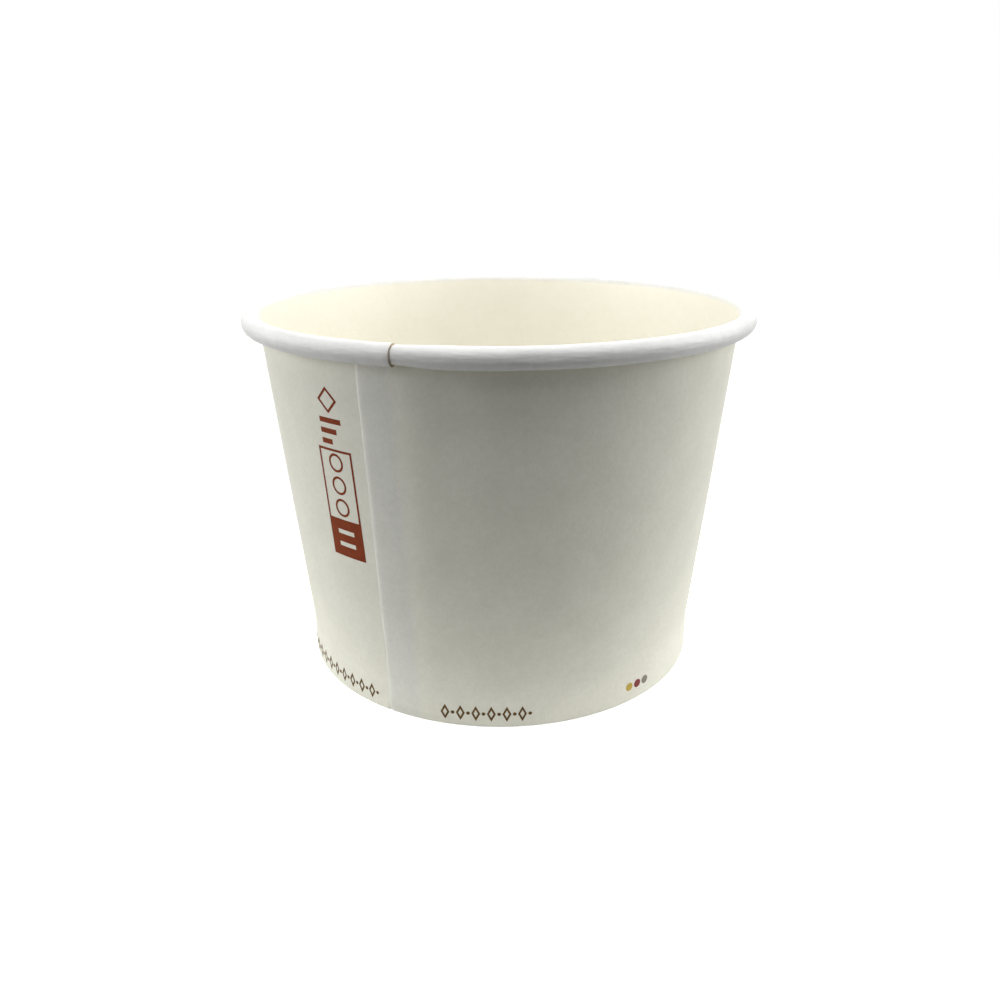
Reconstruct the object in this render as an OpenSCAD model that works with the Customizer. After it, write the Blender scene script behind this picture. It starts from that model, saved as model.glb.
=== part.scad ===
// Paper soup cup: a wrapped and glued side wall with a rolled rim, and a bottom disc gripped in its foot.
// The origin is the middle of the circle it stands on, +Z is up, and the glued seam is at the front left.

/* [Cup] */
// Outer diameter over the rolled rim
rim_d = 115; // [90:0.5:130]
// Height from the table to the top of the rim
cup_h = 83; // [55:0.5:130]
// Outer diameter of the straight band round the foot
foot_d = 93.9; // [70:0.1:94]
// Height of the straight band, up to the crease where the wall starts to lean out
band_h = 8.9; // [7.5:0.1:14]

/* [Board] */
// Thickness of the side wall's board
board = 0.45; // [0.3:0.01:0.5]
// Thickness of the bottom disc's board
disc_board = 0.4; // [0.25:0.01:0.5]
// Glue line between two layers of board
glue = 0.05; // [0.03:0.01:0.1]

/* [Rolled rim] */
// Width of the roll, measured outwards
roll_w = 4.1; // [3.4:0.05:5]
// Height of the roll, a little more than its width
roll_h = 4.35; // [4.1:0.05:5.6]
// How far the roll stops short of a full turn, as seen from its middle
roll_open = 44; // [42:1:70]

/* [Side seam] */
// Place of the inner cut edge, from the front towards the right
seam_angle = -19.8; // [-60:0.1:60]
// Width of the overlap
lap_w = 9; // [6:0.1:12]
// Width of the slope where the outer layer comes down from the overlap
slope_w = 2.4; // [1.5:0.1:4]
// Depth of the notch in the roll's face, beside the inner cut edge
notch = 0.22; // [0.1:0.01:0.25]

/* [Foot] */
// Outer radius of the two bends of the foot
bend_r = 0.6; // [0.5:0.05:0.68]
// Height of the wall's edge where it is folded up inside the foot
fold_h = 6.6; // [4:0.1:7]
// Height of the bottom disc's underside above the table
disc_lift = 7.9; // [7.2:0.1:13]
// Outer radius of the bend from the bottom disc to its skirt
skirt_bend_r = 1; // [0.6:0.1:2]

/* [Print] */
// Thickness of the printed ink
ink = 0.04; // [0.02:0.01:0.08]
// Space between the ink and the board, so that the two do not cut into each other
ink_gap = 0.05; // [0.04:0.01:0.1]
// Middle of the column of signs on the wall, from the front towards the right
signs_angle = -39; // [-120:0.1:-36]
// Line width of the signs
sign_line = 0.5; // [0.3:0.05:0.8]
// Width of the tall frame
frame_w = 9.4; // [6:0.1:11]
// Height of the tall frame
frame_h = 24; // [24:0.1:26]
// Height of the solid field in the tall frame
field_h = 8.6; // [4:0.1:8.6]
// Height of each of the two bare bars in the solid field
bare_bar_h = 1; // [0.5:0.1:1.2]
// Outer diameter of the rings in the tall frame
ring_d = 4.2; // [2:0.1:4.4]
// Distance from one ring to the next
ring_pitch = 4.9; // [4.6:0.1:4.9]
// Width of the longest of the three bars above the frame
bars_w = 6; // [4:0.1:8]
// Height of each bar
bar_h = 1.1; // [0.5:0.1:1.5]
// Distance from one bar to the next
bar_pitch = 2.2; // [1.8:0.1:2.3]
// Width of the diamond at the top of the column
diamond_w = 5.4; // [3:0.1:6]
// Space between the roll and the diamond
signs_drop = 5.9; // [5.9:0.1:7]
// Space between the diamond, the bars and the frame
signs_gap = 0.95; // [0.6:0.05:1.5]
// Width of one lozenge in the border rows
lozenge_w = 1.9; // [1:0.1:2.5]
// Height of one lozenge in the border rows
lozenge_h = 3.7; // [2:0.1:4.5]
// Line width of the border rows
border_line = 0.42; // [0.25:0.01:0.6]
// Diameter of the small dots between the lozenges
border_dot_d = 0.8; // [0.4:0.05:1]
// Distance from one lozenge to the next
border_pitch = 3.3; // [3:0.1:5]
// Height of the border rows' middle above the table
border_z = 3.4; // [3:0.1:5]
// First lozenge of the short border row, from the front towards the right
short_row_angle = -14.6; // [-15:0.1:0]
// Number of lozenges in the short border row
short_row_count = 6; // [2:1:8]
// First lozenge of the long border row, from the front towards the right
long_row_angle = -73.6; // [-90:0.1:-73]
// Number of lozenges in the long border row
long_row_count = 10; // [2:1:10]
// Middle of the three small colour dots, from the front towards the right
colour_dots_angle = 40.2; // [30:0.1:120]
// Diameter of the colour dots
colour_dot_d = 2; // [1:0.1:2.4]
// Distance from one colour dot to the next
colour_dot_pitch = 2.5; // [2.5:0.1:4]
// Height of the colour dots' middle above the table
colour_dots_z = 4; // [3:0.1:6]

/* [Hidden] */
$fn = 180;

// Angles here are counted from the front of the cup, which looks along -Y, towards +X
front = -90;
foot_r = foot_d / 2;
roll_r = roll_w / 2;
roll_flat = roll_h - roll_w;
roll_x = rim_d / 2 - roll_r;
roll_top_z = cup_h - roll_r;
roll_low_z = roll_top_z - roll_flat;
// The wall runs from the crease so that it flows into the roll without a kink
reach = norm([roll_x - foot_r, roll_top_z - band_h]);
lean = atan2(roll_x - foot_r, roll_top_z - band_h) - asin((roll_r - board) / reach);
// The foot holds the skirt between the wall and the wall's own folded edge
foot_w = 2 * board + disc_board + 2 * glue;
disc_r = foot_r - board - glue;
skirt_low_z = board + glue;
lap_angle = asin(lap_w / foot_r);
// Over its width the slope falls by one board and what the round foot falls away, and ends just under the face
slope_fall = board + foot_r - sqrt(foot_r ^ 2 - slope_w ^ 2) + glue / 2;
slope_tilt = atan2(slope_fall, slope_w);
// The outer layer ends inside the roll above, and just above the table below
lap_top_z = roll_top_z - board / 2;
lap_low_z = bend_r / 4;
root = 0.8 * board;
// The gap under the slope runs from above the crease to just under the roll
gap_low_z = band_h + board;
gap_top_z = roll_top_z - 3 * board;
// The notch runs from inside the cup over the roll to its underside, by angles below the way into the cup
notch_start = 190;
notch_end = 450;
border_step = asin(border_pitch / foot_r);
// The column of signs hangs from the rim
diamond_z = cup_h - roll_h - signs_drop - diamond_w / 2;
bars_z = diamond_z - diamond_w / 2 - signs_gap - bar_pitch - bar_h / 2;
frame_z = bars_z - bar_pitch - bar_h / 2 - signs_gap - frame_h;
ink_top_z = roll_low_z - roll_h;
// Larger than the whole cup, for cutting
big = 2 * rim_d + cup_h;

// The point at a distance out, square to the wall, from the wall's outer face at height z
function on_wall(z, out) = [foot_r + (z - band_h) * tan(lean) + out * cos(lean), z - out * sin(lean)];
// The crease, moved by the same distance from both the band and the wall
function on_crease(out) = [foot_r + out, band_h - out * tan(lean / 2)];
// Where the wall meets the roll
function on_roll(out) = [roll_x - (roll_r - board - out) * cos(lean), roll_top_z + (roll_r - board - out) * sin(lean)];
// A point a little further up, in the roll's board
function in_roll(out) = on_roll(out) + board / 2 * [sin(lean), cos(lean)];
// The side view of a second layer, from the foot to inside the roll, smaller all round by less
function layer_outside(less) = [[foot_r, lap_low_z + less], [foot_r + board - less, bend_r],
                                on_crease(board - less), on_wall(lap_top_z - less, board - less)];
// Its root in the wall's own board
function layer_root(less) = [on_crease(-root), [foot_r - root, lap_low_z + less]];

// A bent strip of board, from one angle to the other round a point
module bend(centre, r_out, r_in, from, to) {
    steps = ceil((to - from) / 60);
    translate(centre)
        intersection() {
            difference() {
                circle(r = r_out);
                circle(r = r_in);
            }
            polygon(concat([[0, 0]], [for (i = [0:steps])
                4 * r_out * [cos(from + (to - from) * i / steps), sin(from + (to - from) * i / steps)]]));
        }
}

// The side wall cut through: edge folded up inside the foot, straight band, leaning wall and roll
module wall_section() {
    translate([foot_r - foot_w, bend_r])
        square([board, fold_h - bend_r]);
    bend([foot_r - foot_w + bend_r, bend_r], bend_r, bend_r - board, 180, 270);
    // Underside that the cup stands on
    translate([foot_r - foot_w + bend_r, 0])
        square([foot_w - 2 * bend_r, board]);
    bend([foot_r - bend_r, bend_r], bend_r, bend_r - board, 270, 360);
    polygon([[foot_r - board, bend_r], [foot_r, bend_r], on_crease(0), on_crease(-board)]);
    // The leaning wall ends in a tongue inside the roll's board, so that the two are one sheet
    polygon([on_crease(-board), on_crease(0), on_roll(0), in_roll(-board / 3), in_roll(-2 * board / 3), on_roll(-board)]);
    // Roll: over the top, down the outer side and back in underneath
    bend([roll_x, roll_top_z], roll_r, roll_r - board, 0, 180 - lean);
    translate([roll_x + roll_r - board, roll_low_z])
        square([board, roll_flat]);
    bend([roll_x, roll_low_z], roll_r, roll_r - board, roll_open - 180, 0);
}

// What follows stands at the inner cut edge: x points out of the cup, y along the board, z up
module at_seam() {
    rotate([0, 0, front + seam_angle])
        children();
}

// A slab across the seam, from one place along the board to another
module seam_slab(from, to) {
    translate([0, from, -cup_h])
        cube([big, to - from, 3 * cup_h]);
}

// The outer layer, glued on over the inner one, its own cut edge parallel to the inner edge
module lap() {
    intersection() {
        rotate_extrude(start = front + seam_angle - 2 * lap_angle, angle = 2 * lap_angle)
            polygon(concat(layer_outside(0), [on_wall(lap_top_z, -root)], layer_root(0)));
        at_seam()
            seam_slab(-lap_w, 0);
    }
}

// A straight run along the board at the inner cut edge, drawn by its side view
module straight_run(side_view, tilt, from, to) {
    squeezed = [for (p = side_view) [(p[0] - foot_r) * cos(tilt), p[1]]];
    at_seam()
        intersection() {
            translate([foot_r, 0, 0])
                rotate([90, 0, tilt])
                    linear_extrude(height = 8 * slope_w, center = true)
                        polygon(squeezed);
            seam_slab(from, to);
        }
}

// The board that slopes down beside the inner cut edge, rooted in the wall below and above the gap
module slope() {
    less = glue / 2;
    low = gap_low_z + board;
    top = gap_top_z - board;
    difference() {
        straight_run(concat(layer_outside(less),
                            [on_wall(lap_top_z - less, -root), on_wall(top, -root), on_wall(top, 0),
                             on_wall(low, 0), on_wall(low, -root)],
                            layer_root(less)),
                     slope_tilt, -glue, slope_w + board);
        // Its roots stay within the wall's thickness
        rotate_extrude() {
            polygon([[0, 0], [foot_r - board / 2, 0], on_crease(-board / 2),
                     on_wall(low + glue, -board / 2), [0, low + glue]]);
            polygon([[0, top - glue], on_wall(top - glue, -board / 2),
                     on_wall(roll_top_z, -board / 2), [0, roll_top_z]]);
        }
    }
}

// The gap that the inner layer leaves under the slope, seen inside the cup
module slope_gap() {
    straight_run([on_wall(gap_low_z, -3 * board), on_wall(gap_low_z, board / 2),
                  on_wall(gap_top_z, board / 2), on_wall(gap_top_z, -3 * board)], 0, 0, slope_w);
}

// What is taken off the roll's face beside the inner cut edge
module roll_notch() {
    past = board / 2;
    rise = (notch + past) / slope_w;
    at_seam()
        translate([roll_x, 0, (roll_top_z + roll_low_z) / 2])
            rotate([-90, 0, 0])
                difference() {
                    rotate_extrude(start = notch_start, angle = notch_end - notch_start)
                        square([roll_w, slope_w]);
                    translate([0, 0, -slope_w])
                        cylinder(h = 3 * slope_w, r1 = roll_r - notch - rise * slope_w,
                                 r2 = roll_r - notch + 2 * rise * slope_w);
                }
}

// One sheet of board, wrapped round until its ends overlap
module side_wall() {
    color([0.94, 0.94, 0.91]) {
        difference() {
            rotate_extrude()
                wall_section();
            slope_gap();
            roll_notch();
        }
        lap();
        slope();
    }
}

// A flat disc with its edge turned down into a skirt
module bottom_disc() {
    color([0.93, 0.92, 0.87])
        rotate_extrude() {
            translate([0, disc_lift])
                square([disc_r - skirt_bend_r, disc_board]);
            bend([disc_r - skirt_bend_r, disc_lift + disc_board - skirt_bend_r],
                 skirt_bend_r, skirt_bend_r - disc_board, 0, 90);
            translate([disc_r - disc_board, skirt_low_z])
                square([disc_board, disc_lift + disc_board - skirt_bend_r - skirt_low_z]);
        }
}

// A thin skin just off the board's outer face, from the bends of the foot up to below the roll
module ink_skin() {
    rotate_extrude()
        polygon([[foot_r + ink_gap, bend_r], [foot_r + ink_gap + ink, bend_r],
                 on_crease(ink_gap + ink), on_wall(ink_top_z, ink_gap + ink),
                 on_wall(ink_top_z, ink_gap), on_crease(ink_gap)]);
}

// Ink on the outside of the cup: a flat drawing, with its own height as z, seen from the given angle
module printed(angle) {
    intersection() {
        ink_skin();
        rotate([90, 0, angle])
            linear_extrude(height = rim_d)
                children();
    }
}

// Column of plain signs: a diamond, three bars, and a tall frame with a solid field
module red_print() {
    color([0.48, 0.23, 0.14])
        printed(signs_angle) {
            translate([0, diamond_z])
                rotate(45)
                    difference() {
                        square(diamond_w / sqrt(2), center = true);
                        square(diamond_w / sqrt(2) - 2 * sign_line, center = true);
                    }
            for (i = [-1:1])
                translate([-bars_w / 2, bars_z + i * bar_pitch - bar_h / 2])
                    square([bars_w * (1 - 0.25 * (1 - i)), bar_h]);
            tall_frame();
        }
}

// The tall frame: an outline, a solid field with two bare bars, and three rings above it
module tall_frame() {
    translate([-frame_w / 2, frame_z]) {
        difference() {
            square([frame_w, frame_h]);
            translate([sign_line, field_h])
                square([frame_w - 2 * sign_line, frame_h - field_h - sign_line]);
            for (share = [1 / 3, 2 / 3])
                translate([frame_w / 4, field_h * share - bare_bar_h / 2])
                    square([frame_w / 2, bare_bar_h]);
        }
        for (i = [0:2])
            translate([frame_w / 2, field_h + ring_pitch * (i + 0.5) + sign_line])
                difference() {
                    circle(d = ring_d);
                    circle(d = ring_d - 2 * sign_line);
                }
    }
}

// A row of outlined lozenges with a dot after each
module border_row(angle, count) {
    for (i = [0:count - 1]) {
        printed(angle + i * border_step)
            translate([0, border_z])
                lozenge();
        printed(angle + (i + 0.5) * border_step)
            translate([0, border_z])
                circle(d = border_dot_d);
    }
}

// One outlined lozenge
module lozenge() {
    half_w = lozenge_w / 2;
    half_h = lozenge_h / 2;
    // The line keeps its width where the outline slants
    shrink = 1 - border_line * norm([half_w, half_h]) / (half_w * half_h);
    outline = [[half_w, 0], [0, half_h], [-half_w, 0], [0, -half_h]];
    difference() {
        polygon(outline);
        polygon(shrink * outline);
    }
}

module brown_print() {
    color([0.37, 0.27, 0.18]) {
        border_row(short_row_angle, short_row_count);
        border_row(long_row_angle, long_row_count);
    }
}

// One of the three small colour dots, numbered from the left
module colour_dot(number) {
    dot_step = asin(colour_dot_pitch / foot_r);
    printed(colour_dots_angle + (number - 1) * dot_step)
        translate([0, colour_dots_z])
            circle(d = colour_dot_d);
}

module yellow_dot() {
    color([0.75, 0.65, 0.31])
        colour_dot(0);
}

module plum_dot() {
    color([0.51, 0.24, 0.24])
        colour_dot(1);
}

module grey_dot() {
    color([0.55, 0.53, 0.47])
        colour_dot(2);
}

side_wall();
bottom_disc();
red_print();
brown_print();
yellow_dot();
plum_dot();
grey_dot();
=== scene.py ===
import math

import bpy
from mathutils import Matrix, Vector, noise


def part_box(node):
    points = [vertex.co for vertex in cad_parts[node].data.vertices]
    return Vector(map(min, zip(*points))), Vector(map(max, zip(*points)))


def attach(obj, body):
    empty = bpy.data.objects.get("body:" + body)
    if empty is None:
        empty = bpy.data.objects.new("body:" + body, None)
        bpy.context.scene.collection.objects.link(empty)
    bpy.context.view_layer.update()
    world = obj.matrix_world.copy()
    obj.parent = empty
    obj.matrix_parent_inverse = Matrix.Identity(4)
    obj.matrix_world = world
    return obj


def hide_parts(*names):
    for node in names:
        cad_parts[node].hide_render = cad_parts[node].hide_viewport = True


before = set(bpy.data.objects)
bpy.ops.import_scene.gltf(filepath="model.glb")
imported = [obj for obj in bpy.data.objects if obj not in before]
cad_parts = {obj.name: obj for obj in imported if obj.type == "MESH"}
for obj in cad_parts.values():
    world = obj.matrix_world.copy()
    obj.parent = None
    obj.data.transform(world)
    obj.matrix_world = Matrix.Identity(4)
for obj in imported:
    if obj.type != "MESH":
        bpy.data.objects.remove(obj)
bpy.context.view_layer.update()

# Every length is in metres, and angles round the cup are counted from the front, -Y, towards +X
MM = 0.001

# Board
BOARD = 0.45 * MM
DISC_BOARD = 0.4 * MM
GLUE = 0.05 * MM
# Side wall: the rim and the height come from the frame
RIM_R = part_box("side_wall")[1].x
CUP_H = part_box("side_wall")[1].z
FOOT_R = 46.95 * MM
BAND_H = 8.9 * MM
CREASE_R = 4 * MM
ROLL_W = 4.1 * MM
ROLL_H = 4.35 * MM
ROLL_OPEN = math.radians(44)
FOLD_H = 6.6 * MM
BEND_R = 0.6 * MM
# Glued seam
SEAM = math.radians(-19.8)
LAP_W = 9 * MM
SLOPE_W = 10 * MM
PLY_GAP = 0.02 * MM
# The painted shade of the double board, greyer, fades over this width, up to the inner edge
PLY_BLEND = 3 * MM
# Beside the inner cut edge the roll comes down over the groove, but for a step that fades with the slope
GROOVE_W = 0.5 * MM
ROLL_STEP = 0.2 * MM
# On its other side the roll stands proud over this width
PROUD_W = 0.3 * LAP_W
# The outer cut edge is pressed into a soft bevel, with small nicks, and the inner one stays crisp
OUTER_EDGE_W, OUTER_EDGE_DROP = 0.34 * MM, 0.2 * MM
INNER_EDGE_W, INNER_EDGE_DROP = 0.12 * MM, 0.06 * MM
BEVEL_CURVE = 1.4
NICK_SHARE = 0.6
# The double board at the seam is pressed to one thickness under the foot, and is full again this far up
PRESSED_H = 1.8 * MM
# Bottom disc
DISC_LIFT = 7.9 * MM
SKIRT_BEND_R = 1 * MM
DISC_CROWN = 0.35 * MM
PLEATS = 72
PLEAT_DEPTH = 0.05 * MM
# The pleats start at this share of the flat disc's radius, and deepen over the rest of it
PLEATS_START, PLEATS_RUN = 0.93, 0.07
# Small unevenness of the wrapped board, of the roll and of the disc
WALL_WAVE = 0.09 * MM
ROLL_SLACK = 0.09 * MM
ROLL_WAVE = 0.11 * MM
DISC_WAVE = 0.12 * MM
# Each soft noise: the size of its features across and up, and its own seed
BROAD_WAVE = (28 * MM, 40 * MM, 3)
FINE_WAVE = (9 * MM, 16 * MM, 11)
ROLL_DENT = (22 * MM, MM, 5)
ROLL_STREAK = (6 * MM, 1.5 * MM, 23)
ROLL_CRUMPLE = (2.6 * MM, 1.1 * MM, 31)
DISC_BULGE = (18 * MM, 14 * MM, 41)
PLEAT_CHANGE = (7 * MM, MM, 47)
EDGE_NICK = (MM, 1.1 * MM, 61)
# Print
INK_GAP = 0.008 * MM
INK = 0.02 * MM
CELL = 0.8 * MM

# Edges that turn more than this are sharp
SHARP = math.radians(50)
# Steps round the wall, round the disc and round a printed outline
WALL_STEPS, DISC_STEPS, OUTLINE_STEPS = 384, 288, 64

ROLL_R = ROLL_W / 2
ROLL_X = RIM_R - ROLL_R
ROLL_TOP = Vector((ROLL_X, CUP_H - ROLL_R))
ROLL_LOW = ROLL_TOP - Vector((0, ROLL_H - ROLL_W))
REACH = math.hypot(ROLL_X - FOOT_R, ROLL_TOP.y - BAND_H)
LEAN = math.atan2(ROLL_X - FOOT_R, ROLL_TOP.y - BAND_H) - math.asin((ROLL_R - BOARD) / REACH)
FOOT_W = 2 * BOARD + DISC_BOARD + 2 * GLUE
DISC_R = FOOT_R - BOARD - GLUE


def smooth(share):
    """From 0 to 1 with soft ends."""
    share = min(max(share, 0), 1)
    return share * share * (3 - 2 * share)


def round_cup(radius, angle, height):
    """The point at an angle round the cup."""
    return Vector((radius * math.sin(angle), -radius * math.cos(angle), height))


def soft_noise(angle, height, across, up, seed):
    """Smooth noise from -1 to 1 round the cup, with features of a given size across and up."""
    at = round_cup(FOOT_R / across, angle, height / up + seed)
    return noise.noise(at)


# Section through the side wall, from the folded edge inside the foot to the end of the roll


def straight(start, end, steps):
    """A straight stretch of the section: its points, each with the way that the board's outer side faces."""
    along = (end - start).normalized()
    facing = Vector((along.y, -along.x))
    return [(start.lerp(end, i / steps), facing) for i in range(steps + 1)]


def turn(centre, radius, start, end, steps):
    """A bend of the section. The outer side faces away from its centre where it turns to the left."""
    side = 1 if end > start else -1
    spots = []
    for i in range(steps + 1):
        angle = start + (end - start) * i / steps
        ray = Vector((math.cos(angle), math.sin(angle)))
        spots.append((centre + radius * ray, side * ray))
    return spots


def joined(*stretches):
    """Stretches of a section, one after another, without the doubled points where they meet."""
    spots = list(stretches[0])
    for stretch in stretches[1:]:
        spots += stretch[1:]
    return spots


def wall_section():
    """The outer side of the side wall's board."""
    half_turn = math.pi
    inner_x = FOOT_R - FOOT_W
    crease = Vector((FOOT_R, BAND_H))
    tangent = CREASE_R * math.tan(LEAN / 2)
    upward = Vector((math.sin(LEAN), math.cos(LEAN)))
    wall_foot = crease + tangent * upward
    roll_start = ROLL_TOP - (ROLL_R - BOARD) * Vector((math.cos(LEAN), -math.sin(LEAN)))
    return joined(
        straight(Vector((inner_x, FOLD_H)), Vector((inner_x, BEND_R)), 5),
        turn(Vector((inner_x + BEND_R, BEND_R)), BEND_R, half_turn, 1.5 * half_turn, 5),
        straight(Vector((inner_x + BEND_R, 0)), Vector((FOOT_R - BEND_R, 0)), 1),
        turn(Vector((FOOT_R - BEND_R, BEND_R)), BEND_R, 1.5 * half_turn, 2 * half_turn, 5),
        straight(Vector((FOOT_R, BEND_R)), crease - Vector((0, tangent)), 8),
        turn(crease - Vector((-CREASE_R, tangent)), CREASE_R, half_turn, half_turn - LEAN, 3),
        straight(wall_foot, roll_start, 26),
        turn(ROLL_TOP, ROLL_R - BOARD, half_turn - LEAN, 0, 22),
        straight(ROLL_TOP + Vector((ROLL_R - BOARD, 0)), ROLL_LOW + Vector((ROLL_R - BOARD, 0)), 1),
        turn(ROLL_LOW, ROLL_R - BOARD, 0, ROLL_OPEN - half_turn, 17),
    )


def outer_radius(height):
    """The radius of the wall's outer side at a height."""
    return FOOT_R + max(height - BAND_H, 0) * math.tan(LEAN)


def wall_wave(angle, height):
    """How far the wrapped board stands out from a true cone."""
    rise = smooth(height / (3 * BAND_H)) * smooth((CUP_H - height) / (3 * ROLL_H))
    broad = soft_noise(angle, height, *BROAD_WAVE)
    fine = soft_noise(angle, height, *FINE_WAVE)
    return WALL_WAVE * rise * (0.7 * broad + 0.3 * fine)


def roll_sink(angle, along, near_edge):
    """How far the roll's board sinks towards the middle of the roll, least beside the inner cut edge."""
    long_dent = soft_noise(angle, 0, *ROLL_DENT)
    streak = soft_noise(angle, along, *ROLL_STREAK)
    crumple = soft_noise(angle, along, *ROLL_CRUMPLE)
    wave = ROLL_WAVE * (0.45 * long_dent + 0.4 * streak + 0.2 * crumple)
    return (ROLL_SLACK + wave) * (1 - near_edge)


def spaced(start, end, steps):
    """Evenly spaced values, without the last."""
    return [start + (end - start) * i / steps for i in range(steps)]


def side_wall_stations():
    """The places round the cup where the board is measured, from its outer cut edge to its inner one.

    Each is (share of a whole turn, distance past the inner cut edge in metres)."""
    fine = [0, 0.05, 0.15, 0.3, 0.6, 1]
    stations = [(0, OUTER_EDGE_W * share - LAP_W) for share in fine]
    stations += [(0, d) for d in spaced(OUTER_EDGE_W - LAP_W, 0, 9)[1:]]
    stations += [(0, d) for d in spaced(0, GROOVE_W, 5) + spaced(GROOVE_W, SLOPE_W, 10)]
    stations += [(share, SLOPE_W * (1 - share) - LAP_W * share) for share in spaced(0, 1, WALL_STEPS)]
    stations += [(1, d) for d in spaced(-LAP_W, -INNER_EDGE_W, 9)]
    return stations + [(1, -INNER_EDGE_W * share) for share in reversed(fine)]


def edge_drop(distance, width, drop):
    """How far a bevelled cut edge falls, at a distance in from the cut."""
    share = min(max(distance / width, 0), 1)
    return drop * (1 - share) ** BEVEL_CURVE


def lap_lift(past_edge, on_roll):
    """How far the outer layer stands off over the inner one, at a distance past the inner edge."""
    full = BOARD + PLY_GAP
    if past_edge <= 0:
        return full
    bridge = 1 - smooth(past_edge / SLOPE_W)
    dip = ROLL_STEP * bridge + (full - ROLL_STEP) * (1 - smooth(past_edge / GROOVE_W))
    return (1 - on_roll) * full * bridge + on_roll * dip


def doubled_at(height):
    """The share of the lap's double thickness that is left at a height, as the foot is pressed flat."""
    return smooth((height - BEND_R) / PRESSED_H)


def side_wall_point(station, spot, along):
    """The outer and the inner point of the board at one place round the cup and one spot of the section."""
    turns, past_edge = station
    place, facing = spot
    angle = SEAM + 2 * math.pi * turns + past_edge / place.x
    on_roll = smooth((place.y - (ROLL_TOP.y - ROLL_R)) / ROLL_R)
    doubled = doubled_at(place.y) if place.x > FOOT_R - BEND_R / 2 else 0
    over = 1 if turns == 0 and past_edge <= 0 else 0
    under = 1 if turns == 1 else 0
    squeezed = (over + under) * (1 - doubled)
    lift = lap_lift(past_edge, on_roll) if turns == 0 else 0
    proud = smooth(1 + past_edge / PROUD_W) if turns == 1 else 0
    shift = doubled * lift - under * (1 - doubled) * (BOARD / 2 + PLY_GAP)
    shift += (1 - on_roll) * wall_wave(angle, place.y) + on_roll * roll_sink(angle, along, proud)
    thickness = BOARD * (1 - squeezed / 2) - PLY_GAP * squeezed * under
    depths = [0, thickness]
    if over:
        nick = 1 + NICK_SHARE * soft_noise(0, place.y, *EDGE_NICK)
        depths[0] = edge_drop(past_edge + LAP_W, OUTER_EDGE_W, OUTER_EDGE_DROP * nick)
    if under:
        depths[1] -= edge_drop(-past_edge, INNER_EDGE_W, INNER_EDGE_DROP)
    pair = []
    for depth in depths:
        at = place + (shift - depth) * facing
        pair.append(round_cup(at.x, angle, at.y))
    return pair


def closed_sheet(outer, inner):
    """Points, faces and finishes of a sheet that has two sides and four cut edges.

    Each side is a list of rows. Finish 0 is its outer side, 1 its inner side and 2 its cut edges, but for
    the edge at the first row, which is 3."""
    rows, columns = len(outer), len(outer[0])
    points = [p for side in (outer, inner) for row in side for p in row]

    def at(side, row, column):
        return (side * rows + row) * columns + column

    faces, finishes = [], []
    for r in range(rows - 1):
        for c in range(columns - 1):
            faces.append((at(0, r, c), at(0, r + 1, c), at(0, r + 1, c + 1), at(0, r, c + 1)))
            faces.append((at(1, r, c), at(1, r, c + 1), at(1, r + 1, c + 1), at(1, r + 1, c)))
            finishes += [0, 1]
    for r in range(rows - 1):
        faces.append((at(0, r + 1, 0), at(0, r, 0), at(1, r, 0), at(1, r + 1, 0)))
        faces.append((at(0, r, columns - 1), at(0, r + 1, columns - 1),
                      at(1, r + 1, columns - 1), at(1, r, columns - 1)))
        finishes += [2, 2]
    for c in range(columns - 1):
        faces.append((at(0, 0, c), at(0, 0, c + 1), at(1, 0, c + 1), at(1, 0, c)))
        faces.append((at(0, rows - 1, c + 1), at(0, rows - 1, c),
                      at(1, rows - 1, c), at(1, rows - 1, c + 1)))
        finishes += [3, 2]
    return points, faces, finishes


def piece(name, points, faces, finishes, materials):
    """A mesh object of the cup, shaded smooth but for its sharp edges."""
    mesh = bpy.data.meshes.new(name)
    mesh.from_pydata(points, [], faces)
    for material in materials:
        mesh.materials.append(material)
    mesh.polygons.foreach_set("material_index", finishes)
    mesh.polygons.foreach_set("use_smooth", [True] * len(faces))
    mesh.set_sharp_from_angle(angle=SHARP)
    made = bpy.data.objects.new(name, mesh)
    bpy.context.scene.collection.objects.link(made)
    return made


def mark(made, name, values):
    """Gives each point of a piece a value that its materials can read."""
    made.data.attributes.new(name, "FLOAT", "POINT").data.foreach_set("value", values)


def double_at(turns, past_edge):
    """1 where the board is double at the seam, and 0 where it is single: the mask of the double board's
    painted shade.
    """
    if turns == 0:
        return 1 - smooth((past_edge + PLY_BLEND) / PLY_BLEND)
    return 1 if turns == 1 else 0


# The roll's painted shade is full where the inner side has turned this far up, as a share of straight up
ROLL_SHADE_RUN = 0.6


def roll_shade_at(place, facing):
    """How far the roll's coating is painted in its darker grey shade at one spot of the section: wholly past
    its crest.
    """
    if place.y < ROLL_LOW.y - ROLL_R:
        return 0
    return 1 if facing.x < 0 else smooth((-facing.y - math.sin(LEAN)) / ROLL_SHADE_RUN)


def side_wall(materials):
    """One sheet of board, wrapped until its ends overlap, rolled at the top and folded at the foot."""
    section = wall_section()
    lengths = [0]
    for (before, _), (after, _) in zip(section, section[1:]):
        lengths.append(lengths[-1] + (after - before).length)
    outer, inner = [], []
    for station in side_wall_stations():
        pairs = [side_wall_point(station, spot, along) for spot, along in zip(section, lengths)]
        outer.append([pair[0] for pair in pairs])
        inner.append([pair[1] for pair in pairs])
    points, faces, finishes = closed_sheet(outer, inner)
    made = piece("paper_wall", points, faces, finishes, materials)
    # Where the double board is painted greyer, in painted shade
    two_plies_shade = [double_at(*station) for station in side_wall_stations()]
    # Where the roll's coating is painted in its darker grey shade
    rolled = [roll_shade_at(*spot) for spot in section]
    mark(made, "two_plies_shade", [value for value in two_plies_shade for _ in section] * 2)
    mark(made, "rolled", rolled * (2 * len(two_plies_shade)))
    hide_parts("side_wall")
    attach(made, "root")


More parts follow.
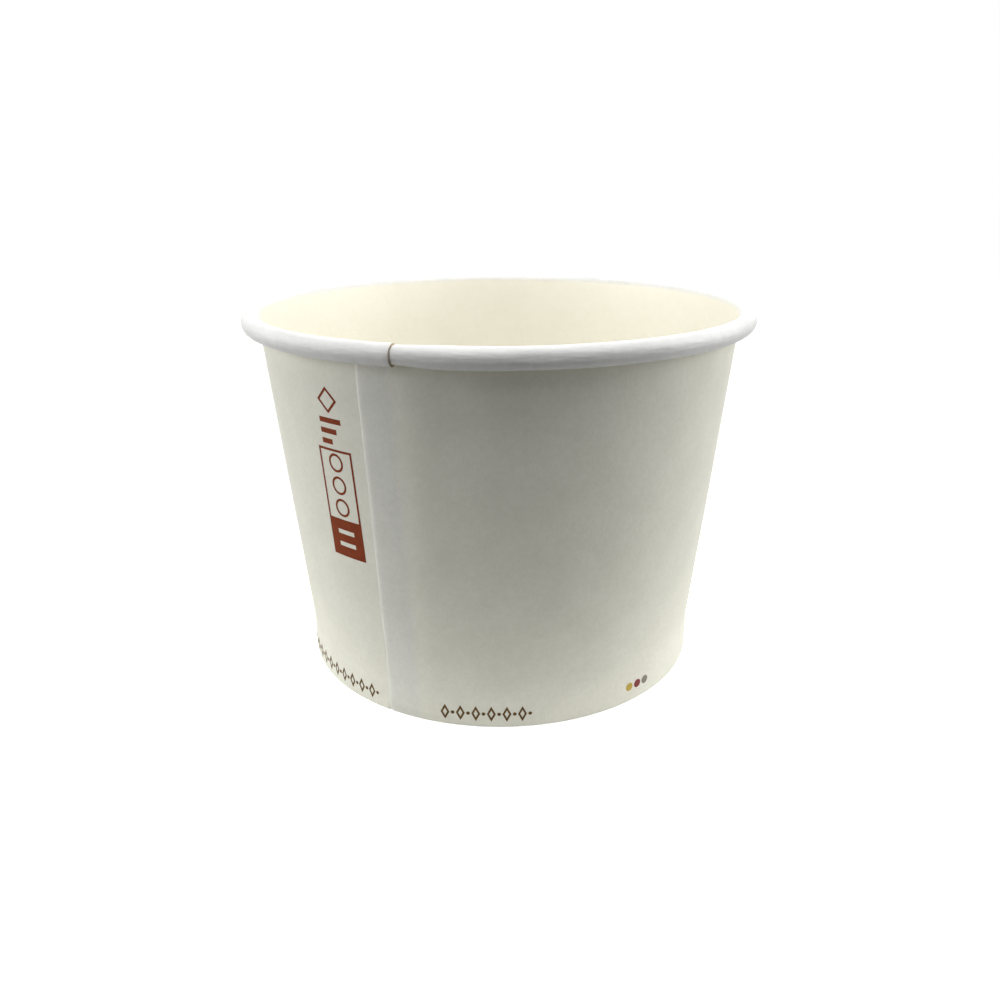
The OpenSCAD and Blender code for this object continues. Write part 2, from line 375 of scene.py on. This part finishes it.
def disc_section():
    """The underside and then the top of the bottom disc with its skirt, from the middle out and back."""
    quarter = math.pi / 2
    bend = Vector((DISC_R - SKIRT_BEND_R, DISC_LIFT + DISC_BOARD - SKIRT_BEND_R))
    skirt_low = BOARD + GLUE
    under = joined(
        straight(Vector((0, DISC_LIFT)), Vector((bend.x, DISC_LIFT)), 24),
        turn(bend, SKIRT_BEND_R - DISC_BOARD, quarter, 0, 6),
        straight(Vector((DISC_R - DISC_BOARD, bend.y)), Vector((DISC_R - DISC_BOARD, skirt_low)), 4),
    )
    top = joined(
        straight(Vector((DISC_R, skirt_low)), Vector((DISC_R, bend.y)), 4),
        turn(bend, SKIRT_BEND_R, 0, quarter, 6),
        straight(Vector((bend.x, DISC_LIFT + DISC_BOARD)), Vector((0, DISC_LIFT + DISC_BOARD)), 24),
    )
    return under, top


def disc_lift(radius, angle):
    """How far the disc is crowned upwards, and dented by the pleats at its bend."""
    share = min(radius / (DISC_R - SKIRT_BEND_R), 1)
    crown = DISC_CROWN * (1 - share * share)
    broad = DISC_WAVE * (1 - share ** 4) * soft_noise(angle, radius, *DISC_BULGE)
    near_bend = smooth((share - PLEATS_START) / PLEATS_RUN)
    near_bend *= smooth((DISC_R - radius) / (0.5 * SKIRT_BEND_R))
    uneven = 0.6 + 0.8 * soft_noise(angle, 0, *PLEAT_CHANGE)
    return crown + broad - PLEAT_DEPTH * near_bend * uneven * (1 + math.cos(PLEATS * angle))


def bottom_disc(materials):
    """A punched disc, slightly crowned, with its edge drawn down into a skirt."""
    steps = DISC_STEPS
    under, top = disc_section()
    rings = [(spot, 1) for spot in under] + [(spot, 0) for spot in top]
    points, faces, finishes = [], [], []
    for (place, _), _ in rings[1:-1]:
        for i in range(steps):
            angle = 2 * math.pi * i / steps
            points.append(round_cup(place.x, angle, place.y + disc_lift(place.x, angle)))
    last = len(rings) - 3
    for ring in range(last):
        for i in range(steps):
            j = (i + 1) % steps
            here, beyond = ring * steps, (ring + 1) * steps
            faces.append((here + i, here + j, beyond + j, beyond + i))
            finishes.append(2 if rings[ring + 1][1] != rings[ring + 2][1] else rings[ring + 1][1])
    for height, ring, finish in ((DISC_LIFT, 0, 1), (DISC_LIFT + DISC_BOARD, last, 0)):
        points.append(Vector((0, 0, height + disc_lift(0, 0))))
        for i in range(steps):
            corners = (len(points) - 1, ring * steps + i, ring * steps + (i + 1) % steps)
            faces.append(corners[::-1] if finish else corners)
            finishes.append(finish)
    made = piece("paper_disc", points, [face[::-1] for face in faces], finishes, materials)
    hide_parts("bottom_disc")
    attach(made, "root")


# Print: flat drawings, x to the right and z up, laid on the wall as thin films of ink


def between(start, end):
    """Evenly spaced values no further apart than one cell, without the last."""
    return spaced(start, end, max(1, math.ceil((end - start) / CELL)))


def cells(xs, zs, kept):
    """A drawing of rectangles between lines at xs and zs, without those that kept leaves out."""
    fine_x = [x for a, b in zip(xs, xs[1:]) for x in between(a, b)] + [xs[-1]]
    fine_z = [z for a, b in zip(zs, zs[1:]) for z in between(a, b)] + [zs[-1]]
    corners = {}
    faces = []
    for x0, x1 in zip(fine_x, fine_x[1:]):
        for z0, z1 in zip(fine_z, fine_z[1:]):
            if kept((x0 + x1) / 2, (z0 + z1) / 2):
                square = ((x0, z0), (x1, z0), (x1, z1), (x0, z1))
                faces.append(tuple(corners.setdefault(p, len(corners)) for p in square))
    return list(corners), faces


def outline(loop, line):
    """A drawing of a closed line. loop(share, inset) gives its point at a share of the way round."""
    steps = OUTLINE_STEPS
    points = []
    for inset in (0, line / 2, line):
        points += [loop(i / steps, inset) for i in range(steps)]
    faces = []
    for ring in range(2):
        for i in range(steps):
            j = (i + 1) % steps
            here, beyond = ring * steps, (ring + 1) * steps
            faces.append((here + i, here + j, beyond + j, beyond + i))
    return points, faces


def circle(radius):
    """A round loop."""
    def loop(share, inset):
        angle = 2 * math.pi * share
        return (radius - inset) * math.cos(angle), (radius - inset) * math.sin(angle)
    return loop


def lozenge(width, height):
    """A loop with four corners, whose line keeps its width where it slants."""
    half_w, half_h = width / 2, height / 2

    def loop(share, inset):
        side, along = divmod(4 * share, 1)
        shrink = 1 - inset * math.hypot(half_w, half_h) / (half_w * half_h)
        tips = ((half_w, 0), (0, half_h), (-half_w, 0), (0, -half_h))
        a, b = tips[int(side) % 4], tips[(int(side) + 1) % 4]
        return (shrink * (a[0] + (b[0] - a[0]) * along), shrink * (a[1] + (b[1] - a[1]) * along))
    return loop


def dot(diameter):
    """A drawing of a filled round dot."""
    points, faces = outline(circle(diameter / 2), 0.9 * diameter / 2)
    ring = len(points) // 3
    points.append((0, 0))
    for i in range(ring):
        faces.append((2 * ring + i, 2 * ring + (i + 1) % ring, len(points) - 1))
    return points, faces


def moved(drawing, x, z):
    """A drawing at another place."""
    points, faces = drawing
    return [(px + x, pz + z) for px, pz in points], faces


def film(name, node, slot, drawings, material):
    """Thin closed films of ink on the wall. Each drawing comes with the angle of its middle."""
    points, faces = [], []
    for angle, (flat_points, flat_faces) in drawings:
        start, count = len(points), len(flat_points)
        for out in (INK_GAP, INK_GAP + INK):
            for x, z in flat_points:
                points.append(on_wall(angle + x / outer_radius(z), z, out))
        sides = {}
        for face in flat_faces:
            faces.append(tuple(start + count + i for i in face))
            faces.append(tuple(start + i for i in reversed(face)))
            for a, b in zip(face, face[1:] + face[:1]):
                sides[(a, b)] = (b, a) not in sides
                if not sides[(a, b)]:
                    sides[(b, a)] = False
        for (a, b), open_side in sides.items():
            if open_side:
                faces.append((start + a, start + b, start + count + b, start + count + a))
    made = piece(name, points, faces, [0] * len(faces), [material])
    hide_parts(node)
    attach(made, "root")


def on_wall(angle, height, out):
    """The point at a distance out from the wall's outer side."""
    across = math.cos(LEAN) if height > BAND_H else 1
    down = math.sin(LEAN) if height > BAND_H else 0
    past_edge = (angle - SEAM) * outer_radius(height)
    lift = wall_wave(angle, height) + out
    if -LAP_W <= past_edge <= SLOPE_W:
        lift += doubled_at(height) * lap_lift(past_edge, 0)
    return round_cup(outer_radius(height) + lift * across, angle, height - lift * down)


SIGNS_ANGLE = math.radians(-39)
SIGN_LINE = 0.5 * MM
FRAME_W, FRAME_H, FRAME_Z = 9.4 * MM, 24 * MM, 35.95 * MM
FIELD_H = 8.6 * MM
BARE_BAR_H = 1 * MM
RING_D, RING_PITCH = 4 * MM, 4.9 * MM
BARS_W, BARS_Z, BAR_H, BAR_PITCH = 6 * MM, 63.65 * MM, 1.1 * MM, 2.2 * MM
DIAMOND_W, DIAMOND_Z = 5.4 * MM, 70.05 * MM
LOZENGE_W, LOZENGE_H, BORDER_LINE = 1.9 * MM, 3.7 * MM, 0.42 * MM
BORDER_DOT_D, BORDER_PITCH, BORDER_Z = 0.8 * MM, 3.3 * MM, 3.4 * MM
BORDER_ROWS = ((math.radians(-14.6), 6), (math.radians(-73.6), 10))
COLOUR_DOTS_ANGLE = math.radians(40.2)
COLOUR_DOT_D, COLOUR_DOT_PITCH, COLOUR_DOTS_Z = 2 * MM, 2.5 * MM, 4 * MM


def tall_frame():
    """An outline with a solid field at its foot, which has two bare bars in it."""
    half = FRAME_W / 2
    xs = [-half, SIGN_LINE - half, -half / 2, half / 2, half - SIGN_LINE, half]
    middles = [FIELD_H / 3, 2 * FIELD_H / 3]
    bare = [(middle - BARE_BAR_H / 2, middle + BARE_BAR_H / 2) for middle in middles]
    zs = [0, *bare[0], *bare[1], FIELD_H, FRAME_H - SIGN_LINE, FRAME_H]

    def kept(x, z):
        if z < FIELD_H:
            return abs(x) > half / 2 or not any(low < z < high for low, high in bare)
        return abs(x) > half - SIGN_LINE or z > FRAME_H - SIGN_LINE
    return moved(cells(xs, zs, kept), 0, FRAME_Z)


def red_print(material):
    """The column of plain signs: a diamond, three bars, and the tall frame with three rings."""
    drawings = [moved(outline(lozenge(DIAMOND_W, DIAMOND_W), SIGN_LINE), 0, DIAMOND_Z), tall_frame()]
    for i in range(3):
        width = BARS_W * (0.5 + 0.25 * i)
        left, low = -BARS_W / 2, BARS_Z + (i - 1) * BAR_PITCH - BAR_H / 2
        drawings.append(cells([left, left + width], [low, low + BAR_H], lambda x, z: True))
        ring_z = FRAME_Z + FIELD_H + RING_PITCH * (i + 0.5) + SIGN_LINE / 2
        drawings.append(moved(outline(circle(RING_D / 2), SIGN_LINE), 0, ring_z))
    film("ink_signs", "red_print", "red_ink", [(SIGNS_ANGLE, d) for d in drawings], material)


def brown_print(material):
    """Two border rows of outlined lozenges, with a dot after each."""
    step = math.asin(BORDER_PITCH / FOOT_R)
    one_lozenge = moved(outline(lozenge(LOZENGE_W, LOZENGE_H), BORDER_LINE), 0, BORDER_Z)
    one_dot = moved(dot(BORDER_DOT_D), 0, BORDER_Z)
    drawings = []
    for first, count in BORDER_ROWS:
        for i in range(count):
            drawings.append((first + i * step, one_lozenge))
            drawings.append((first + (i + 0.5) * step, one_dot))
    film("ink_border", "brown_print", "brown_ink", drawings, material)


def colour_dots(materials):
    """Three small dots, each in its own ink."""
    step = math.asin(COLOUR_DOT_PITCH / FOOT_R)
    for i, (ink, material) in enumerate(materials.items()):
        drawing = moved(dot(COLOUR_DOT_D), 0, COLOUR_DOTS_Z)
        angle = COLOUR_DOTS_ANGLE + (i - 1) * step
        film("ink_dot_" + ink, ink + "_dot", ink + "_ink", [(angle, drawing)], material)


# Materials


class Flow:
    """A socket of a material's nodes. Sums written with it add their Math nodes."""

    def __init__(self, finish, socket):
        self.finish = finish
        self.socket = socket

    def maths(self, operation, first, second):
        return self.finish.node("ShaderNodeMath", {"operation": operation}, {0: first, 1: second})

    def __add__(self, other):
        return self.maths("ADD", self, other)

    def __rsub__(self, other):
        return self.maths("SUBTRACT", other, self)

    def __mul__(self, other):
        return self.maths("MULTIPLY", self, other)

    __radd__ = __add__
    __rmul__ = __mul__


class Finish:
    """The nodes of one material or of the world."""

    def __init__(self, tree):
        self.tree = tree
        tree.nodes.clear()

    def node(self, kind, settings=None, sockets=None, output=0):
        """Adds one node: its settings first, then the values or links of its sockets."""
        made = self.tree.nodes.new(kind)
        for name, value in (settings or {}).items():
            setattr(made, name, value)
        for name, value in (sockets or {}).items():
            if isinstance(value, Flow):
                self.tree.links.new(value.socket, made.inputs[name])
            else:
                made.inputs[name].default_value = value
        return Flow(self, made.outputs[output])

    def ended(self, kind, shader):
        """Links a shader to the output of the material or the world."""
        output = self.tree.nodes.new(kind)
        self.tree.links.new(shader.socket, output.inputs["Surface"])

    def grain(self, place, size, detail=2.0, stretch=(1, 1, 1)):
        """Noise from 0 to 1 with features of a given size in metres."""
        stretched = self.node("ShaderNodeVectorMath", {"operation": "MULTIPLY"}, {0: place, 1: stretch})
        return self.node("ShaderNodeTexNoise", None,
                         {"Vector": stretched, "Scale": 1 / size, "Detail": detail, "Roughness": 0.55})

    def marked(self, name):
        """A value that the piece's points carry, or 0 on a piece without it."""
        return self.node("ShaderNodeAttribute", {"attribute_name": name}, output="Fac")

    def picked(self, value, low, high):
        """From 0 at low to 1 at high."""
        return self.node("ShaderNodeMapRange", {"interpolation_type": "SMOOTHSTEP"},
                         {"Value": value, "From Min": low, "From Max": high})

    def mixed(self, share, first, second):
        """The first colour, turning into the second where share is 1."""
        return self.node("ShaderNodeMix", {"data_type": "RGBA"}, {0: share, 6: first, 7: second}, output=2)

    def bump(self, height, distance, strength, before=None):
        """A normal that shows a height, on top of another normal."""
        sockets = {"Height": height, "Distance": distance, "Strength": strength}
        if before:
            sockets["Normal"] = before
        return self.node("ShaderNodeBump", None, sockets)


def colour(red, green, blue):
    """A linear colour from its screen values of 0 to 255."""
    linear = []
    for value in (red, green, blue):
        share = value / 255
        linear.append(share / 12.92 if share < 0.04045 else ((share + 0.055) / 1.055) ** 2.4)
    return (*linear, 1)


def new_finish(name):
    """A new material and its nodes."""
    material = bpy.data.materials.new(name)
    material.use_nodes = True
    return material, Finish(material.node_tree)


def surface(finish, steady, varying):
    """Ends a material in a Principled shader: steady values first, then what changes over the surface."""
    shader = finish.node("ShaderNodeBsdfPrincipled", None, {**steady, **varying})
    finish.ended("ShaderNodeOutputMaterial", shader)


# Flecks in the board are this far apart on average, before most are left out by the share chosen
FLECK_PITCH = 9 * MM
FLECK_CHOSEN = (0.72, 0.76)
# A fleck fades out between these distances from its middle, as shares of the pitch
FLECK_EDGE = (0.008, 0.022)


def uncoated_board():
    """The wall's outside: matte white board with a faint cloudiness, short fibres and a rare dark fleck.

    A little warm light comes through a single layer, so the double layer at the seam is painted greyer, as
    painted shade."""
    material, finish = new_finish("uncoated_board")
    place = finish.node("ShaderNodeTexCoord", output=3)
    cloud = finish.grain(place, 9 * MM, 3)
    mottle = finish.grain(place, 1.3 * MM, 4)
    fibres = finish.grain(place, 0.32 * MM, 3, (1, 1, 0.45))
    tone = finish.picked(0.35 * cloud + 0.3 * mottle + 0.35 * fibres, 0.36, 0.64)
    single = finish.mixed(tone, colour(229, 228, 215), colour(237, 236, 224))
    # The double board's colour is a greyer copy of the single one: painted shade
    double = finish.mixed(tone, colour(220, 220, 212), colour(229, 229, 221))
    white = finish.mixed(finish.marked("two_plies_shade"), single, double)
    cells_of_flecks = {"Vector": place, "Scale": 1 / FLECK_PITCH}
    cell = finish.node("ShaderNodeTexVoronoi", {"feature": "F1"}, cells_of_flecks)
    middle = finish.node("ShaderNodeTexVoronoi", {"feature": "F1"}, cells_of_flecks, output=2)
    chosen = finish.node("ShaderNodeTexWhiteNoise", None, {"Vector": middle})
    fleck = (1 - finish.picked(cell, *FLECK_EDGE)) * finish.picked(chosen, *FLECK_CHOSEN)
    base = finish.mixed(0.5 * fleck, white, colour(150, 138, 118))
    normal = finish.bump(fibres, 0.03 * MM, 0.7, finish.bump(mottle, 0.06 * MM, 0.5))
    surface(finish, {"Specular IOR Level": 0.25},
            {"Base Color": base, "Roughness": 0.78 + 0.14 * mottle, "Normal": normal})
    return material


def coated_board():
    """The wall's inside with its faintly satin coating: cream in the cup, and a greyer, darker copy of it
    over the roll's top and outer side, which is painted shade.
    """
    material, finish = new_finish("coated_board")
    place = finish.node("ShaderNodeTexCoord", output=3)
    cloud = finish.grain(place, 12 * MM, 3)
    mottle = finish.grain(place, 1.6 * MM, 4)
    peel = finish.grain(place, 0.4 * MM, 3)
    tone = finish.picked(0.6 * cloud + 0.4 * mottle, 0.3, 0.7)
    cream = finish.mixed(tone, colour(239, 236, 222), colour(243, 240, 228))
    # A darker grey copy of the cream for the roll: painted shade
    stretched = finish.mixed(tone, colour(212, 212, 210), colour(223, 223, 221))
    rolled = finish.marked("rolled")
    white = finish.mixed(rolled, cream, stretched)
    wrinkles = finish.grain(place, 1.1 * MM, 3, (0.3, 0.3, 1.3))
    uneven = finish.bump(rolled * wrinkles, 0.2 * MM, 0.7, finish.bump(mottle, 0.08 * MM, 0.5))
    normal = finish.bump(peel, 0.03 * MM, 0.6, uneven)
    surface(finish, {"Specular IOR Level": 0.4},
            {"Base Color": white, "Roughness": 0.42 + 0.12 * mottle, "Normal": normal})
    return material


def cut_edge(name, dark, pale):
    """The bare, layered edge where the board was cut."""
    material, finish = new_finish(name)
    place = finish.node("ShaderNodeTexCoord", output=3)
    fibres = finish.grain(place, 0.12 * MM, 3)
    base = finish.mixed(fibres, dark, pale)
    normal = finish.bump(fibres, 0.04 * MM, 0.6)
    surface(finish, {"Specular IOR Level": 0.2},
            {"Base Color": base, "Roughness": 0.85 + 0.1 * fibres, "Normal": normal})
    return material


def ink(name, dark, pale):
    """Matte ink that lies a little unevenly on the fibres."""
    material, finish = new_finish(name)
    place = finish.node("ShaderNodeTexCoord", output=3)
    cover = finish.grain(place, 0.25 * MM, 4)
    cloud = finish.grain(place, 2 * MM, 2)
    base = finish.mixed(finish.picked(0.7 * cover + 0.3 * cloud, 0.35, 0.75), dark, pale)
    normal = finish.bump(cover, 0.02 * MM, 0.4)
    surface(finish, {"Specular IOR Level": 0.15},
            {"Base Color": base, "Roughness": 0.6 + 0.2 * cover, "Normal": normal})
    return material


# Studio: a white floor and a white surround, and soft light from both sides, from behind and from above

CAMERA_PLACE = Vector((0, -209.84, 111.69)) * MM
CAMERA_TILT = math.radians(20.24)
CAMERA_ROLL = math.radians(0.275)
# Blender counts these two in millimetres
SENSOR_W, LENS = 36, 32.44
NEAREST = 10 * MM
FLOOR_HALF = 3.0
FLOOR_GAP = 0.02 * MM
# The floor throws light back close to the cup, and little from further away, and looks white throughout
FLOOR_NEAR, FLOOR_FAR = (0.84, 0.84, 0.82, 1), (0.12, 0.12, 0.12, 1)
GLOW_NEAR, GLOW_RISE = 0.8, 0.2
FLOOR_FADE = (55 * MM, 115 * MM)
# Each lamp's place, size and power
LAMPS = {
    "left_low": (Vector((-0.5, 0.05, 0.12)), 0.3, 1.4),
    "left_front": (Vector((-0.5, -0.3, 0.3)), 0.4, 1),
    "right": (Vector((0.6, 0, 0.3)), 0.5, 2.15),
    "right_low": (Vector((0.5, 0.05, 0.12)), 0.3, 0.95),
    "behind": (Vector((0, 0.5, 0.5)), 0.6, 1.6),
    "above": (Vector((0, 0, 0.45)), 0.4, 0.55),
    "above_front": (Vector((0, -0.12, 0.6)), 0.3, 1.6),
    "front": (Vector((0, -0.3, 0.6)), 0.4, 0.5),
}


def camera():
    """The camera of the photograph, tilted down and turned very slightly."""
    data = bpy.data.cameras.new("camera")
    data.sensor_width = SENSOR_W
    data.lens = LENS
    data.clip_start = NEAREST
    made = bpy.data.objects.new("camera", data)
    tilt = Matrix.Rotation(math.pi / 2 - CAMERA_TILT, 4, "X")
    made.matrix_world = Matrix.Translation(CAMERA_PLACE) @ tilt @ Matrix.Rotation(-CAMERA_ROLL, 4, "Z")
    bpy.context.scene.collection.objects.link(made)
    bpy.context.scene.camera = made


def lamps():
    """Soft square lamps that face the middle of the cup."""
    for name, (place, size, power) in LAMPS.items():
        data = bpy.data.lights.new("lamp_" + name, "AREA")
        data.shape = "SQUARE"
        data.size = size
        data.energy = power
        lamp = bpy.data.objects.new("lamp_" + name, data)
        lamp.location = place
        lamp.rotation_euler = (Vector((0, 0, CUP_H / 2)) - place).to_track_quat("-Z", "Y").to_euler()
        bpy.context.scene.collection.objects.link(lamp)


def seen(finish):
    """1 for what the camera sees, straight or by reflection, and 0 for light that falls on the cup."""
    paths = [finish.node("ShaderNodeLightPath", output=output)
             for output in ("Is Camera Ray", "Is Glossy Ray", "Is Transmission Ray")]
    either = finish.node("ShaderNodeMath", {"operation": "MAXIMUM"}, {0: paths[0], 1: paths[1]})
    return finish.node("ShaderNodeMath", {"operation": "MAXIMUM"}, {0: either, 1: paths[2]})


def surround():
    """A world that looks white and leaves the lighting to the lamps."""
    world = bpy.data.worlds.new("surround")
    world.use_nodes = True
    bpy.context.scene.world = world
    finish = Finish(world.node_tree)
    shader = finish.node("ShaderNodeBackground", None, {"Color": (1, 1, 1, 1), "Strength": seen(finish)})
    finish.ended("ShaderNodeOutputWorld", shader)


def floor():
    """A white floor that shows only the cup's soft shadow."""
    mesh = bpy.data.meshes.new("floor")
    h = FLOOR_HALF
    mesh.from_pydata([(-h, -h, 0), (h, -h, 0), (h, h, 0), (-h, h, 0)], [], [(0, 1, 2, 3)])
    material, finish = new_finish("white_floor")
    place = finish.node("ShaderNodeTexCoord", output=3)
    away = finish.node("ShaderNodeVectorMath", {"operation": "LENGTH"}, {0: place}, output="Value")
    glow = finish.picked(away, *FLOOR_FADE) * GLOW_RISE + GLOW_NEAR
    paper = finish.mixed(finish.picked(away, *FLOOR_FADE), FLOOR_NEAR, FLOOR_FAR)
    matte = finish.node("ShaderNodeBsdfDiffuse", None, {"Color": paper})
    bright = finish.node("ShaderNodeEmission", None, {"Strength": glow * seen(finish)})
    both = finish.node("ShaderNodeAddShader", None, {0: matte, 1: bright})
    finish.ended("ShaderNodeOutputMaterial", both)
    mesh.materials.append(material)
    made = bpy.data.objects.new("floor", mesh)
    made.location.z = -FLOOR_GAP
    bpy.context.scene.collection.objects.link(made)


outside, coating = uncoated_board(), coated_board()
edge = cut_edge("cut_edge", colour(168, 150, 120), colour(206, 192, 166))
pale_edge = cut_edge("pale_cut_edge", colour(232, 231, 222), colour(250, 249, 244))
side_wall([outside, coating, edge, pale_edge])
bottom_disc([coating, outside, edge])
red_print(ink("red_ink", colour(117, 46, 12), colour(138, 62, 24)))
brown_print(ink("brown_ink", colour(90, 70, 38), colour(114, 88, 52)))
colour_dots({
    "yellow": ink("yellow_ink", colour(184, 158, 72), colour(202, 178, 92)),
    "plum": ink("plum_ink", colour(118, 50, 52), colour(142, 70, 70)),
    "grey": ink("grey_ink", colour(130, 125, 110), colour(150, 146, 132)),
})
floor()
surround()
lamps()
camera()
bpy.context.scene.view_settings.view_transform = "Standard"
